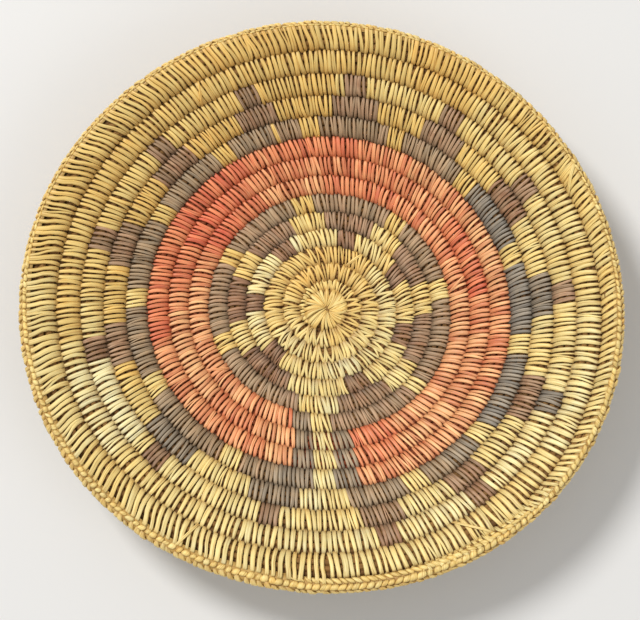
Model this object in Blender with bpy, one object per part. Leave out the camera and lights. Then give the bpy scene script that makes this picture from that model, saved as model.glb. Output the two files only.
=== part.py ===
# Coiled wedding basket: a spiral of bundled rods, sewn round by round with dyed splints, and a braided rim.
# Metres, +Z up. The origin is the middle of the flat underside, where the coil starts, and the path is at -Y.
# Turns are counted along the coil from its end at the rim inward, anticlockwise seen from above.

import math

import bmesh
import bpy
from mathutils import Vector

# The bowl
RIM_RADIUS = 0.1735
BOWL_RISE = 0.052
BASE_SHARE = 0.34
WALL_CURVE = 1.4
OVAL_SHARE = 0.029
OVAL_DEGREES = 83
OFFSET_SHARE = 0.016
OFFSET_DEGREES = 272
LOBE_SHARE = 0.007
LOBE_DEGREES = 50

# The coil: its edges as shares of the rim radius, and its section
ROUNDS = 13
STATIONS = 24
START_SHARE = 0.083
STEP_SHARE = 0.0575
GROWTH_SHARE = 0.00073
COIL_EDGE_SHARE = 0.984
THICKNESS_SHARE = 0.78
FLAT_SHARE = 0.58
ROUND_GAP = 0.00045
ROD_END_STATION = 1
SEWN_END_STATION = 2

# The sewing
SPLINT_BUILD = 0.0015
CARRIED_SPLINT = 0.0005
CARRIED_SHARE = 0.6
CLEARANCE = 0.0003
END_GAP = 0.0004
SNAP_DEGREES = 0.6

# The rim braid and the start
BRAID_THICKNESS = 0.0022
BRAID_GAP = 0.0003
BRAID_LIFT_SHARE = 0.2
BRAID_COVER_DEGREES = 60
BRAID_FADE_DEGREES = 45
BRAID_COVER_SHARE = 0.12
START_FLAT_SHARE = 0.8

SHARP_DEGREES = 40

# Where the brown stitches lie in each round, in degrees from the middle of the path
BROWN_DEGREES = {
    3: (
        (12.5, 18), (37, 42.5), (64.5, 70), (91.5, 96.5), (118.5, 124), (144, 149.5), (170, 175.5),
        (198, 203), (223.5, 229), (250, 255.5), (277, 282.5), (308, 313.5), (341.5, 347),
    ),
    4: (
        (9.5, 20.5), (34.5, 44.5), (60, 72), (88, 99), (114.5, 126.5), (140, 152), (165.5, 178.5),
        (194.5, 205.5), (221, 233), (246.5, 258.5), (274, 285), (302.5, 317.5), (336.5, 351.5),
    ),
    5: (
        (6.5, 24), (30.5, 48), (54, 76.5), (82.5, 103), (109, 129.5), (135.5, 155.5), (160.5, 182.5),
        (188.5, 211), (216.5, 237.5), (243, 264), (269.5, 290.5), (297, 323.5), (330.5, 355.5),
        (362.5, 371),
    ),
    6: ((347, 355), (363, 371)),
    7: ((346.5, 354), (362.5, 370.5)),
    9: (
        (-17.5, -8), (2, 45.5), (52.5, 94.5), (104.5, 136.5), (146, 187.5), (198.5, 237.5),
        (246.5, 283.5), (293.5, 343),
    ),
    10: (
        (6.5, 38), (57.5, 86.5), (105.5, 130), (150, 181), (203, 233), (250.5, 278), (298.5, 332.5),
    ),
    11: (
        (14.5, 30), (63.5, 79), (109, 122.5), (157.5, 171.5), (208.5, 224.5), (258.5, 272), (302, 318),
    ),
}

# Where natural stitches take turns with the brown ones, between the brown runs
NATURAL_DEGREES = {
    3: (0, 360), 4: (0, 360), 5: (0, 362.5), 6: (355, 363), 7: (354, 362.5), 9: (-8, 360),
    10: (0, 360), 11: (0, 360),
}

# Where the red band runs in each round, and how many splint lengths sew the rounds of one colour
RED_DEGREES = {6: (11, 347), 7: (11, 346.5), 8: (10.5, 342.5)}
RED_LENGTHS = 5
NATURAL_LENGTHS = {1: 6, 2: 6, 12: 3, 13: 2}

FINISHES = {
    "natural": ((0.72, 0.50, 0.17, 1), 0.48),
    "brown": ((0.15, 0.115, 0.085, 1), 0.55),
    "red": ((0.70, 0.15, 0.075, 1), 0.5),
    "rods": ((0.50, 0.37, 0.20, 1), 0.7),
    "braid": ((0.78, 0.57, 0.24, 1), 0.45),
}

# Sides of the sleeve's four-sided bore, and the points of the six-sided outside that face each one
OVER, UNDER = 0, 2
FACING_POINTS = ((1, 2), (2, 3, 4), (4, 5), (5, 0, 1))


def clear_scene():
    for obj in list(bpy.data.objects):
        bpy.data.objects.remove(obj)


def rim_radius_at(turn):
    angle = math.tau * turn
    oval = OVAL_SHARE * math.cos(2 * (angle - math.radians(OVAL_DEGREES)))
    offset = OFFSET_SHARE * math.cos(angle - math.radians(OFFSET_DEGREES))
    lobes = LOBE_SHARE * math.cos(3 * (angle - math.radians(LOBE_DEGREES)))
    return RIM_RADIUS * (1 + oval + offset + lobes)


def edge_share(step):
    """The line between two rounds, counted outward from the start."""
    return START_SHARE + STEP_SHARE * step + GROWTH_SHARE * step**2


def rise_at(share):
    climb = max(0, share - BASE_SHARE) / (1 - BASE_SHARE)
    return BOWL_RISE * climb**WALL_CURVE


def braid_cover(turn):
    """How far the braid reaches over the coil's top: right across its slim end, then only the outer edge."""
    fade = (turn * 360 - BRAID_COVER_DEGREES) / BRAID_FADE_DEGREES
    return 1 + (BRAID_COVER_SHARE - 1) * min(1, max(0, fade))


def six_sides(half_width, half_thickness):
    """The coil's section, points along the wall and flats to the bowl's inside and underside."""
    flat = half_width * FLAT_SHARE
    return [
        (half_width, 0), (flat, half_thickness), (-flat, half_thickness),
        (-half_width, 0), (-flat, -half_thickness), (flat, -half_thickness),
    ]


def four_sides(half_width, top, bottom):
    return [(half_width, top), (-half_width, top), (-half_width, -bottom), (half_width, -bottom)]


def inset(outline, distance):
    """Every side of a convex outline moved in by one distance."""
    count = len(outline)
    lines = []
    for here, there in zip(outline, outline[1:] + outline[:1]):
        along = Vector(there) - Vector(here)
        inward = Vector((-along.y, along.x)).normalized()
        lines.append((inward, inward.dot(Vector(here)) + distance))
    corners = []
    for index in range(count):
        (first, reach), (second, next_reach) = lines[index - 1], lines[index]
        cross = first.x * second.y - first.y * second.x
        corners.append((
            (reach * second.y - next_reach * first.y) / cross,
            (next_reach * first.x - reach * second.x) / cross,
        ))
    return corners


class Station:
    """The coil's place, tilt and section at one turn, in the upright plane through the basket's middle."""

    def __init__(self, index):
        turn = index / STATIONS
        angle = math.tau * turn
        rim = rim_radius_at(turn)
        inner = edge_share(ROUNDS - turn)
        full = edge_share(ROUNDS + 1 - turn)
        outer = min(full, COIL_EDGE_SHARE)
        run = (outer - inner) * rim
        climb = rise_at(outer) - rise_at(inner)
        slant = math.hypot(run, climb)
        out = Vector((math.sin(angle), -math.cos(angle), 0))
        self.along = (out * run + Vector((0, 0, climb))) / slant
        self.normal = (Vector((0, 0, run)) - out * climb) / slant
        self.half_width = (slant - ROUND_GAP) / 2
        self.half_thickness = self.half_width * THICKNESS_SHARE
        widening = ((full - inner) * slant / (outer - inner) - ROUND_GAP) / 2
        height = (rise_at(outer) + rise_at(inner)) / 2 + widening * THICKNESS_SHARE
        self.centre = out * (outer + inner) / 2 * rim + Vector((0, 0, height))
        self.cover = braid_cover(turn)
        self.to_rim = (rim - (outer + inner) / 2 * rim) * slant / run
        self.steepness = climb / run
        self.outer = six_sides(self.half_width, self.half_thickness)
        self.bore_width, self.bore_height = inset(self.outer, SPLINT_BUILD)[1]
        self.full_height = widening * THICKNESS_SHARE

    def place(self, point):
        along, normal = point
        return self.centre + self.along * along + self.normal * normal

    def rods(self):
        width, height = self.bore_width - CLEARANCE, self.bore_height - CLEARANCE
        return four_sides(width, height, height)

    def bore(self, carried_side=None):
        """The sleeve's inside, deeper on the side where the other colour's splint is carried past."""
        room = CARRIED_SPLINT + CLEARANCE
        top = self.bore_height + (room if carried_side == OVER else 0)
        bottom = self.bore_height + (room if carried_side == UNDER else 0)
        return four_sides(self.bore_width, top, bottom)

    def carried(self, side):
        """The carried splint's section, flat against one side of the bore."""
        width, low = self.bore_width * CARRIED_SHARE, self.bore_height
        high = low + CARRIED_SPLINT
        if side == UNDER:
            width, low, high = -width, -low, -high
        return [(width, low), (width, high), (-width, high), (-width, low)]

    def braid(self):
        """The rim braid's section: a band over the outer sides of the last round."""
        hugged = inset(self.outer, -BRAID_GAP)
        (reach, _), (flat, crest) = hugged[:2]
        lift = (self.to_rim - reach) * BRAID_LIFT_SHARE
        top = (crest + max(crest, self.full_height)) / 2 + BRAID_THICKNESS
        edge = self.to_rim + lift * self.steepness
        inner_edge = flat * (1 - 2 * self.cover)
        return [
            hugged[5], hugged[0], hugged[1], (inner_edge, crest), (inner_edge, top), (flat, top),
            (edge, lift + BRAID_THICKNESS / 2), (edge, lift - BRAID_THICKNESS / 2),
            (flat, -crest - BRAID_THICKNESS),
        ]


STATION_AT = [Station(index) for index in range(ROUNDS * STATIONS + 1)]


def loop_at(turn, section):
    """A section's points at any turn, on the straight run between two stations."""
    place = turn * STATIONS
    index = min(int(place), len(STATION_AT) - 2)
    share = place - index
    here, there = STATION_AT[index], STATION_AT[index + 1]
    return [
        here.place(a).lerp(there.place(b), share) for a, b in zip(section(here), section(there))
    ]


def turns_between(start, end):
    """The two ends and every station between them."""
    first = math.floor(start * STATIONS) + 1
    last = math.ceil(end * STATIONS) - 1
    return [start] + [index / STATIONS for index in range(first, last + 1)] + [end]


def snapped(turn):
    """A colour change close to a station moves onto it."""
    station = round(turn * STATIONS) / STATIONS
    return station if abs(station - turn) * 360 < SNAP_DEGREES else turn


def end_gap_turn(turn):
    """Half the gap between two stitch runs, as a share of a turn."""
    flat = STATION_AT[round(turn * STATIONS)].centre.xy.length
    return END_GAP / 2 / (math.tau * flat)


def trimmed(start, end):
    return start + end_gap_turn(start), end - end_gap_turn(end)


def ring_faces(bm, first, second):
    """Faces between two loops with as many points."""
    count = len(first)
    for index in range(count):
        after = (index + 1) % count
        bm.faces.new((first[index], first[after], second[after], second[index]))


def tube(bm, loops):
    """A closed tube through a row of loops, with its two ends filled."""
    rows = [[bm.verts.new(point) for point in loop] for loop in loops]
    for first, second in zip(rows, rows[1:]):
        ring_faces(bm, first, second)
    bm.faces.new(rows[0])
    bm.faces.new(rows[-1])


def sleeve(bm, start, end, own_side, other_side, notched):
    """One run of stitches round the rods. It gives the notch points where a carried splint joins each end."""
    turns = turns_between(start, end)
    outer = [[bm.verts.new(p) for p in loop_at(turn, lambda s: s.outer)] for turn in turns]
    bore = [[bm.verts.new(p) for p in loop_at(turn, lambda s: s.bore(other_side))] for turn in turns]
    notches = [None, None]
    for which, turn in enumerate((start, end)):
        if notched[which]:
            notches[which] = [bm.verts.new(p) for p in loop_at(turn, lambda s: s.carried(own_side))]
    for first, second in zip(outer, outer[1:]):
        ring_faces(bm, first, second)
    for row, (first, second) in enumerate(zip(bore, bore[1:])):
        for side in range(len(first)):
            after = (side + 1) % len(first)
            face = [first[side], first[after], second[after], second[side]]
            if side == own_side and row == 0 and notches[0]:
                face[1:1] = [notches[0][0], notches[0][3]]
            if side == own_side and row == len(bore) - 2 and notches[1]:
                face[-1:-1] = [notches[1][3], notches[1][0]]
            bm.faces.new(face)
    end_face(bm, outer[0], bore[0], own_side, notches[0])
    end_face(bm, outer[-1], bore[-1], own_side, notches[1])
    return notches


def end_face(bm, outer, bore, own_side, notch):
    """The flat end of a run, in a face for each side of the bore, notched round the carried splint."""
    for side, facing in enumerate(FACING_POINTS):
        path = [bore[side], bore[(side + 1) % len(bore)]]
        if notch and side == own_side:
            path[1:1] = notch
        bm.faces.new([outer[index] for index in facing] + path[::-1])


def carried_splint(bm, start_notch, end_notch, start, end, side):
    """The splint that runs on under the other colour, from one run's end to the next one's start."""
    rows = [start_notch]
    for turn in turns_between(start, end)[1:-1]:
        rows.append([bm.verts.new(p) for p in loop_at(turn, lambda s: s.carried(side))])
    rows.append(end_notch)
    for first, second in zip(rows, rows[1:]):
        ring_faces(bm, first, second)


def finish(name, kind):
    colour, roughness = FINISHES[kind]
    material = bpy.data.materials.new(name + "_finish")
    material.use_nodes = True
    shader = material.node_tree.nodes["Principled BSDF"]
    shader.inputs["Base Color"].default_value = colour
    shader.inputs["Roughness"].default_value = roughness
    shader.inputs["Metallic"].default_value = 0
    material.diffuse_color = colour
    return material


def add_piece(name, bm, kind):
    bmesh.ops.recalc_face_normals(bm, faces=bm.faces)
    mesh = bpy.data.meshes.new(name)
    bm.to_mesh(mesh)
    bm.free()
    mesh.shade_smooth()
    mesh.set_sharp_from_angle(angle=math.radians(SHARP_DEGREES))
    mesh.materials.append(finish(name, kind))
    piece = bpy.data.objects.new(name, mesh)
    bpy.context.scene.collection.objects.link(piece)
    return piece


def sewn_runs(name, kind, runs, own_side=OVER, other_side=None):
    """The stitches of one colour in one round: its runs, joined by the splint carried between them."""
    bm = bmesh.new()
    last = len(runs) - 1
    before = None
    for index, (start, end) in enumerate(runs):
        start, end = trimmed(start, end)
        notches = sleeve(bm, start, end, own_side, other_side, (index > 0, index < last))
        if before:
            carried_splint(bm, before[0], notches[0], before[1], start, own_side)
        before = (notches[1], end)
    return add_piece(name, bm, kind)


def gaps_between(spans, start, end):
    """What is left between a row of spans."""
    edges = [start] + [edge for span in spans for edge in span] + [end]
    return [pair for pair in zip(edges[::2], edges[1::2]) if pair[0] < pair[1]]


def in_turns(round_number, degrees):
    return [tuple(snapped(round_number - 1 + edge / 360) for edge in span) for span in degrees]


def split(span, count):
    start, end = span
    edges = [snapped(start + (end - start) * index / count) for index in range(count + 1)]
    return list(zip(edges, edges[1:]))


def make_rods():
    """The bundle of rods, one unbroken spiral."""
    bm = bmesh.new()
    end = trimmed(0, ROUNDS)[1]
    turns = turns_between(ROD_END_STATION / STATIONS, end)
    tube(bm, [loop_at(turn, lambda s: s.rods()) for turn in turns])
    return add_piece("foundation_rods", bm, "rods")


def make_one_colour_rounds():
    for round_number, count in NATURAL_LENGTHS.items():
        start = SEWN_END_STATION / STATIONS if round_number == 1 else round_number - 1
        for index, run in enumerate(split((start, round_number), count), start=1):
            sewn_runs(f"round_{round_number:02d}_natural_splints_{index}", "natural", [run])
    for round_number, degrees in RED_DEGREES.items():
        (band,) = in_turns(round_number, [degrees])
        for index, run in enumerate(split(band, RED_LENGTHS), start=1):
            sewn_runs(f"round_{round_number:02d}_red_splints_{index}", "red", [run])


def make_patterned_rounds():
    """Brown and natural take turns, each carried under the other: brown over the rods, natural under them."""
    for round_number, degrees in BROWN_DEGREES.items():
        brown = in_turns(round_number, degrees)
        ((start, end),) = in_turns(round_number, [NATURAL_DEGREES[round_number]])
        natural = gaps_between([span for span in brown if start <= span[0] < end], start, end)
        name = f"round_{round_number:02d}"
        sewn_runs(name + "_brown_splints", "brown", brown, OVER, UNDER)
        sewn_runs(name + "_natural_splints", "natural", natural, UNDER, OVER)


def make_braid():
    """The herringbone band that binds the rim, from the coil's end round to it again."""
    bm = bmesh.new()
    turns = turns_between(*trimmed(0, 1))
    tube(bm, [loop_at(turn, lambda s: s.braid()) for turn in turns])
    return add_piece("rim_braid", bm, "braid")


def make_start():
    """The start knot: one small spiral button, whose step the coil's first round grows from."""
    first = STATION_AT[-1]
    height = 2 * first.half_thickness
    rows = []
    for index in range(STATIONS + 1):
        angle = math.tau * index / STATIONS
        out = Vector((math.sin(angle), -math.cos(angle), 0))
        turn = index / STATIONS
        reach = edge_share(1 - turn) * rim_radius_at(turn) - ROUND_GAP
        flat = reach - (1 - FLAT_SHARE) * first.half_width
        rows.append([
            out * flat,
            out * reach + Vector((0, 0, height / 2)),
            out * flat + Vector((0, 0, height)),
            out * flat * START_FLAT_SHARE + Vector((0, 0, height)),
        ])
    bm = bmesh.new()
    rings = [[bm.verts.new(point) for point in row] for row in rows]
    for here, there in zip(rings, rings[1:]):
        for lower, upper in ((0, 1), (1, 2), (2, 3)):
            bm.faces.new((here[lower], there[lower], there[upper], here[upper]))
    first_row, last_row = rings[0], rings[-1]
    bm.faces.new([row[0] for row in rings])
    bm.faces.new([row[3] for row in rings])
    bm.faces.new([
        first_row[0], first_row[1], first_row[2], first_row[3],
        last_row[3], last_row[2], last_row[1], last_row[0],
    ])
    return add_piece("start_knot", bm, "natural")


def distance_between(loop, other):
    """The least distance from one loop's points to another loop's sides."""
    least = math.inf
    for point in loop:
        for here, there in zip(other, other[1:] + other[:1]):
            side = there - here
            share = min(1, max(0, (point - here).dot(side) / side.length_squared))
            least = min(least, (point - here - side * share).length)
    return least


def least_gap(section, first_station):
    """The tube's least gap to itself, from each station to the one a round further in."""
    least = math.inf
    for index in range(first_station, len(STATION_AT) - STATIONS):
        here, inside = STATION_AT[index], STATION_AT[index + STATIONS]
        loops = [[s.place(p) for p in section(s)] for s in (here, inside)]
        least = min(least, distance_between(*loops), distance_between(*loops[::-1]))
    return least


clear_scene()
make_rods()
make_start()
make_one_colour_rounds()
make_patterned_rounds()
make_braid()
print(f"least gap of the rods to themselves {least_gap(lambda s: s.rods(), ROD_END_STATION) * 1000:.2f} mm")
print(f"least gap between sewn rounds {least_gap(lambda s: s.outer, SEWN_END_STATION) * 1000:.2f} mm")
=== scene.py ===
# Looks of the coiled wedding basket: every splint stitch, the rods in the gaps, the start and the braided rim
import math

import bmesh
import bpy
import numpy as np
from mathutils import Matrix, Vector


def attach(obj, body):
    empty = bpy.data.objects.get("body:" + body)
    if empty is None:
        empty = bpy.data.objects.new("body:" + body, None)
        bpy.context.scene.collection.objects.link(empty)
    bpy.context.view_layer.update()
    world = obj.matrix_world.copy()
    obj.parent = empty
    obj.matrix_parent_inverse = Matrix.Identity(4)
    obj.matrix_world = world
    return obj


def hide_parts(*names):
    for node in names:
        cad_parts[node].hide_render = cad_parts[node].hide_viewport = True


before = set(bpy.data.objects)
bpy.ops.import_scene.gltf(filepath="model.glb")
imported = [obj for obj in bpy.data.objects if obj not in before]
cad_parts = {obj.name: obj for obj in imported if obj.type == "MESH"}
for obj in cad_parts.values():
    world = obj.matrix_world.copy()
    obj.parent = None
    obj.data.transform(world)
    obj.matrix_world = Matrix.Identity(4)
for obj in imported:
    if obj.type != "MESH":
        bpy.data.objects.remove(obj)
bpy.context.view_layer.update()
rng = np.random.default_rng(11)
print("frame loaded:", len(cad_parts), "nodes")

# The coil, with the same sizes as the solids; turns are counted from its end at the rim inward
coil = {
    "rimRadius": 0.1735,
    "bowlRise": 0.052,
    "baseShare": 0.34,
    "wallCurve": 1.4,
    "ovalShare": 0.029, "ovalDegrees": 83,
    "offsetShare": 0.016, "offsetDegrees": 272,
    "lobeShare": 0.007, "lobeDegrees": 50,
    "rounds": 13,
    "startShare": 0.083,
    "stepShare": 0.0575,
    "growthShare": 0.00073,
    "outerEdgeShare": 0.984,
    "buttonShare": 0.072,  # the coil tapers to nothing against the start button
    "thicknessShare": 0.78,
    "startHalfThickness": 0.0034,
}


def rimRadiusAt(turn):
    angle = math.tau * turn
    oval = coil["ovalShare"] * np.cos(2 * (angle - math.radians(coil["ovalDegrees"])))
    offset = coil["offsetShare"] * np.cos(angle - math.radians(coil["offsetDegrees"]))
    lobes = coil["lobeShare"] * np.cos(3 * (angle - math.radians(coil["lobeDegrees"])))
    return coil["rimRadius"] * (1 + oval + offset + lobes)


def edgeShareAt(step):
    return coil["startShare"] + coil["stepShare"] * step + coil["growthShare"] * step**2


def riseAt(share):
    climb = np.maximum(0, share - coil["baseShare"]) / (1 - coil["baseShare"])
    return coil["bowlRise"] * climb ** coil["wallCurve"]


def outwardAt(turn):
    angle = math.tau * turn
    return np.stack([np.sin(angle), -np.cos(angle), np.zeros_like(angle)], -1)


def coilAt(turn):
    # middle, direction outward along the wall, direction out of the wall, half width, half thickness
    rim = rimRadiusAt(turn)
    inner = np.maximum(edgeShareAt(coil["rounds"] - turn), coil["buttonShare"])
    full = edgeShareAt(coil["rounds"] + 1 - turn)
    outer = np.minimum(full, coil["outerEdgeShare"])
    run = (outer - inner) * rim
    climb = riseAt(outer) - riseAt(inner)
    slant = np.hypot(run, climb)
    out, up = outwardAt(turn), np.array([0.0, 0.0, 1.0])
    along = (out * run[..., None] + up * climb[..., None]) / slant[..., None]
    normal = (up * run[..., None] - out * climb[..., None]) / slant[..., None]
    halfWidth = slant / 2
    least = np.where(turn > coil["rounds"], coil["startHalfThickness"], 0)
    halfThickness = np.maximum(halfWidth * coil["thicknessShare"], least)
    seat = np.maximum((full - inner) / (outer - inner) * halfWidth * coil["thicknessShare"], least)
    height = (riseAt(outer) + riseAt(inner)) / 2 + seat
    middle = out * ((outer + inner) / 2 * rim)[..., None] + up * height[..., None]
    return middle, along, normal, halfWidth, halfThickness


def buttonAt(turn):
    # the start button as a coil so tight that its hole is a short slit
    out = outwardAt(turn)
    slit = np.array(button["slitDirection"])
    inner = slit * (button["slitLength"] / 2 * np.tanh(button["slitSharpness"] * (out @ slit)))[..., None]
    outer = out * np.interp(turn * 360 % 360, button["radiusDegrees"], button["radius"])[..., None]
    reach = np.linalg.norm(outer - inner, axis=-1)
    middle = (inner + outer) / 2 + np.array([0.0, 0.0, button["halfThickness"]])
    up = np.broadcast_to(np.array([0.0, 0.0, 1.0]), middle.shape)
    return middle, (outer - inner) / reach[..., None], up, reach / 2, 0 * reach + button["halfThickness"]


# A length of split shoot before it is laid: one wide, one long, flat with rounded edges, drawn out along +X
shoot = {
    "edgeHeight": 0.1,  # points further than this from the middle level are its flat faces
    "thinning": 0.4,  # it thins less than it narrows
    "grainThickness": 0.001,
    "grainApart": (3, 0.7, 5),  # no two splints have the same fibres
}


def makeStrip(name, steps, sides, taper, flatness):
    bpy.ops.object.select_all(action="DESELECT")
    bpy.ops.mesh.primitive_circle_add(
        vertices=sides, radius=0.5, fill_type="NGON", location=(0, 0, 0), rotation=(0, math.pi / 2, 0)
    )
    strip = bpy.context.object
    strip.name = name
    bpy.ops.object.transform_apply(location=True, rotation=True, scale=True)
    bpy.ops.object.mode_set(mode="EDIT")
    bpy.ops.mesh.select_all(action="SELECT")
    for step in range(steps):
        bpy.ops.mesh.extrude_region_move(TRANSFORM_OT_translate={"value": (1 / steps, 0, 0)})
    shape = bmesh.from_edit_mesh(strip.data)
    for vert in shape.verts:
        vert.select_set(abs(vert.co.z) > shoot["edgeHeight"])
    shape.select_flush(True)
    bmesh.update_edit_mesh(strip.data)
    bpy.ops.transform.resize(value=(1, flatness, 1), center_override=(0, 0, 0))  # flat with rounded edges
    for step in range(steps + 1):
        shape = bmesh.from_edit_mesh(strip.data)
        for vert in shape.verts:
            vert.select_set(abs(vert.co.x * steps - step) < 0.5)
        shape.select_flush(True)
        bmesh.update_edit_mesh(strip.data)
        narrowing = taper(step / steps)
        thinner = narrowing ** shoot["thinning"]
        bpy.ops.transform.resize(value=(1, narrowing, thinner), center_override=(0, 0, 0))
    bpy.ops.mesh.select_all(action="SELECT")
    bpy.ops.mesh.normals_make_consistent(inside=False)
    bpy.ops.object.mode_set(mode="OBJECT")
    return strip


def stripParts(strip):
    points = np.array([vert.co for vert in strip.data.vertices])
    faces = [tuple(face.vertices) for face in strip.data.polygons]
    return points, faces


def grainOf(x, y, z, length, width):
    # where each point lies in its own splint, which the fibres follow
    return np.stack(np.broadcast_arrays(x * length, y * width, z * shoot["grainThickness"]), -1)


# The herringbone rim: its rows' edges lie inward from the outline, and one row goes part of the way round
braid = {
    "pitch": 0.0040,
    "bottomPitch": 0.0046,
    "bottomDegrees": 10,  # where the pitch is widest
    "bottomRange": (0.2, 1),  # of the cosine from there, over which it widens
    "steps": 5,
    "sides": 6,
    "flatness": 1.25,
    "tipShare": 0.45,
    "taperSpan": (0.1, 0.9),
    "thickness": 0.0015,
    "grainLength": 0.006,
    "slant": 0.95,
    "mostSlant": 1.3,  # in pitches
    "overlap": 1.04,
    "arch": 0.0007,
    "sunk": 0.0008,
    "proud": 0.0001,
    "inset": 0.0004,
    "skinRadius": 0.0055,  # makes a length of an angle on the skin
    "mainLean": -0.55,
    "innerLean": 1,
    "innerSpan": (-7, 47),
    "underLean": 0.8,
    "pitchJitter": 0.09,
    "slantJitter": 0.0005,
    "widthJitter": 0.11,
    "lengthJitter": 0.09,
    "archJitter": 0.0002,
    "tiltJitter": 0.0003,
    "shade": 0.52,
    "shadeJitter": 0.08,
    "leastCosine": -0.95,
    "underAngle": -1.25,
    "blendFrom": 0.965,
    "mainDegrees": (0, 18, 32, 45, 60, 82, 105, 125, 145, 250, 268, 285, 305, 330, 345, 353, 360),
    "main": (0.0052, 0.0052, 0.0048, 0.0042, 0.0045, 0.0043, 0.0032, 0.0026, 0.0021, 0.0021, 0.0042, 0.0052,
             0.0057, 0.0062, 0.0070, 0.0062, 0.0052),
    "innerDegrees": (-14, -8, -2, 18, 30, 40, 52),
    "inner": (0.0066, 0.0074, 0.0086, 0.0088, 0.0082, 0.0072, 0.0050),
    "outerDegrees": (0, 262, 280, 345, 357),
    "outer": (0.0010, 0.0010, 0.0020, 0.0026, 0.0010),
}


def mainWidthAt(turn):
    return np.interp(turn * 360 % 360, braid["mainDegrees"], braid["main"])


def innerWidthAt(turn):
    return np.interp((turn * 360 + 180) % 360 - 180, braid["innerDegrees"], braid["inner"])


# The sewing
sewing = {
    "sides": 6,
    "flatness": 1.25,
    # a stitch's way round the coil, across and out in shares of the coil's section: at the rim, where its
    # outer end stays high under the braid, in the wall, and at the start, where the rounds lie close
    "wayTurns": (1.02, 1.15, 7.5, 9.5),
    "rimWay": ((-1.12, 0.02), (-1.19, 0.42), (-1.01, 0.70), (-0.70, 0.91), (-0.24, 1.01), (0.28, 1.03),
               (0.74, 0.98), (1.06, 0.83), (1.20, 0.45), (0.92, -0.60), (0.42, -0.97), (-0.42, -0.98),
               (-0.92, -0.64), (-1.12, -0.20)),
    "wallWay": ((-1.12, 0.02), (-1.19, 0.42), (-1.01, 0.70), (-0.70, 0.91), (-0.26, 1.01), (0.24, 1.02),
                (0.68, 0.93), (0.95, 0.70), (1.05, 0.15), (0.92, -0.60), (0.42, -0.97), (-0.42, -0.98),
                (-0.92, -0.64), (-1.12, -0.20)),
    "startWay": ((-1.12, 0.10), (-1.30, 0.62), (-1.10, 0.86), (-0.74, 0.97), (-0.26, 1.01), (0.24, 1.01),
                 (0.68, 0.92), (0.97, 0.68), (1.05, 0.15), (0.92, -0.60), (0.42, -0.97), (-0.42, -0.98),
                 (-0.92, -0.64), (-1.12, -0.20)),
    "widths": (0.60, 0.94, 1.10, 1.14, 1.10, 1.03, 0.94, 0.78, 0.54, 0.90, 1.00, 1.00, 0.90, 0.50),
    # the braid covers these ends, which aren't drawn in further
    "coveredWiden": (1, 1, 1, 1, 1, 1, 1.06, 1.28, 1.80, 1, 1, 1, 1, 1),
    "coveredStep": 7,  # this step of the way comes to the braid's edge
    "stretch": (0.9, 1.6),  # least and most of what that takes
    "outerFrom": 0.2,
    "underBraid": 0.0008,
    "edgeRoom": 0.0012,
    "underSkin": 0.0003,
    "dive": 0.0003,
    "diveFrom": 0.9,
    "mostShare": 0.99,
    "coveredTurns": 1.13,
    "coveredTuck": 0.3,  # the ends under the braid stay bright
    "slimTurns": 0.055,  # the coil's slim end lies wholly under the braid
    "slimLift": -0.0007,
    # in widths, towards the next stitch
    "advance": (0, 0, 0, 0, 0, 0, 0, 0, 0, 0.10, 0.22, 0.36, 0.48, 0.54),
    "splintThickness": 0.0008,
    "grainLength": 0.03,
    "sunk": 0.00045,
    "sunkAcross": 0.5,
    # tuck marks a stitch's ends, where painted shade darkens it as it goes down between its neighbours
    "tuckFrom": 0.1,
    "tuckPowers": (2, 5),  # of the inner and the outer end
    "knotReach": 0.94,
    "startReach": 1.10,
    "startTurns": 11,
    "reachJitter": {1: 0.05, 9: 0.07, 12: 0.12},  # from this round inward
    "leanJitter": {1: 0.04, 3: 0.042, 9: 0.06, 11: 0.09, 12: 0.10, 13: 0.13},
    "widthJitter": {1: 0.11, 9: 0.13, 12: 0.18},
    # the pitch's share between stitches, and how much more of it there is at the bottom
    "openness": {1: 0.30, 2: 0.28, 3: 0.25, 5: 0.22, 6: 0.24, 9: 0.22, 12: 0.25, 13: 0.22},
    "openSwing": {1: 0.04, 2: 0.05, 3: 0.02, 5: 0.0},
    "openDegrees": -8,
    "pitchJitter": 0.09,
    "bendSwing": 0.0006,
    "rimBend": -0.0005,
    "bendJitter": 0.0003,
    "splitShare": 0.035,  # some stitches are two thin splints side by side
    "splitApart": 0.2,
    "splitLean": 0.06,
    "splitNarrower": 0.42,
    "strayShade": 0.6,
    "firstSplint": (6, 20),  # stitches left of the splint that a row begins with
    "splintStitches": (9, 22),  # stitches to a splint
    "lift": 0.00024,
}
ways = np.array([sewing["rimWay"], sewing["wallWay"], sewing["wallWay"], sewing["startWay"]])
lastStep = len(sewing["widths"]) - 1


def stitchTaper(share):
    # full width over the crown, drawn in where the stitch goes down through its hole
    return sewing["widths"][round(share * lastStep)]


stitchStrip = makeStrip("stitchStrip", lastStep, sewing["sides"], stitchTaper, sewing["flatness"])
stitchPoints, stitchFaces = stripParts(stitchStrip)


def skinSize(turn, here):
    # the rim's outer skin is an ellipse in the coil's own section, from its middle to the outline
    middle, along, normal, halfWidth, halfThickness = here
    full = edgeShareAt(coil["rounds"] + 1 - turn) - edgeShareAt(coil["rounds"] - turn)
    whole = full * rimRadiusAt(turn) / 2 * coil["thicknessShare"]
    high = (halfThickness + np.maximum(halfThickness, whole)) / 2 + braid["proud"]
    level = (along * outwardAt(turn)).sum(-1)
    wide = (rimRadiusAt(turn) - np.linalg.norm(middle[..., :2], axis=-1)) / level - braid["inset"]
    return wide, high, level


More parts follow.
